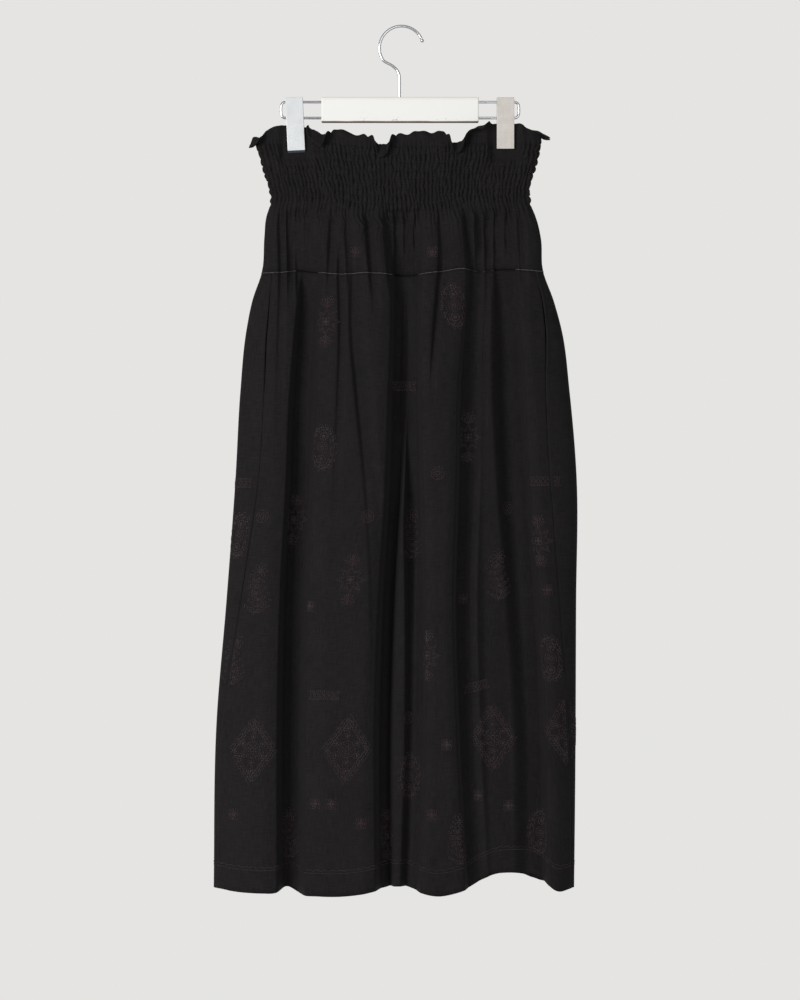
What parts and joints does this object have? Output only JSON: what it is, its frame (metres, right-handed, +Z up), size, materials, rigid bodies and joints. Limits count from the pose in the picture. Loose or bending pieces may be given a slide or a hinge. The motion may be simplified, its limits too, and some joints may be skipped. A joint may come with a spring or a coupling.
{
  "type": "embroidered skirt on clip hanger",
  "caption": "Long black embroidered skirt with a ruffled, shirred waist, gathered yoke and deep folds, hung flat from a wooden clip hanger with a wire hook.",
  "frame": {"origin": "where the hanger's hook hangs: the underside of the top of its arc", "axes": "+Z up, +X to the right seen from the side that shows, and -Y out of that side, which is the back of the skirt"},
  "size_m": [0.4165, 0.107, 0.9963],
  "materials": {
    "cloth": "fine black woven cotton, matt",
    "thread": "dull wine-red embroidery thread",
    "seam_edge": "light folded edge of the yoke seam",
    "bar_paint": "white painted wood, worn brown along its edges",
    "wire": "bright chromed steel wire",
    "clip_silver": "pale silver lacquered steel",
    "clip_grey": "warm grey lacquered steel",
    "pad": "black rubber"
  },
  "bodies": {
    "root": {"yoke_back": "cloth", "yoke_front": "cloth", "skirt_back": "cloth", "skirt_front": "cloth", "pocket_left": "cloth", "pocket_right": "cloth", "hanger_bar": "bar_paint", "hanger_hook": "wire", "hanger_wire_left": "wire", "hanger_wire_right": "wire", "clip_left_channel": "clip_silver", "clip_left_front": "clip_silver", "clip_left_back": "clip_silver", "clip_left_pad_front": "pad", "clip_left_pad_back": "pad", "clip_right_channel": "clip_grey", "clip_right_front": "clip_grey", "clip_right_back": "clip_grey", "clip_right_pad_front": "pad", "clip_right_pad_back": "pad"}
  },
  "joints": []
}
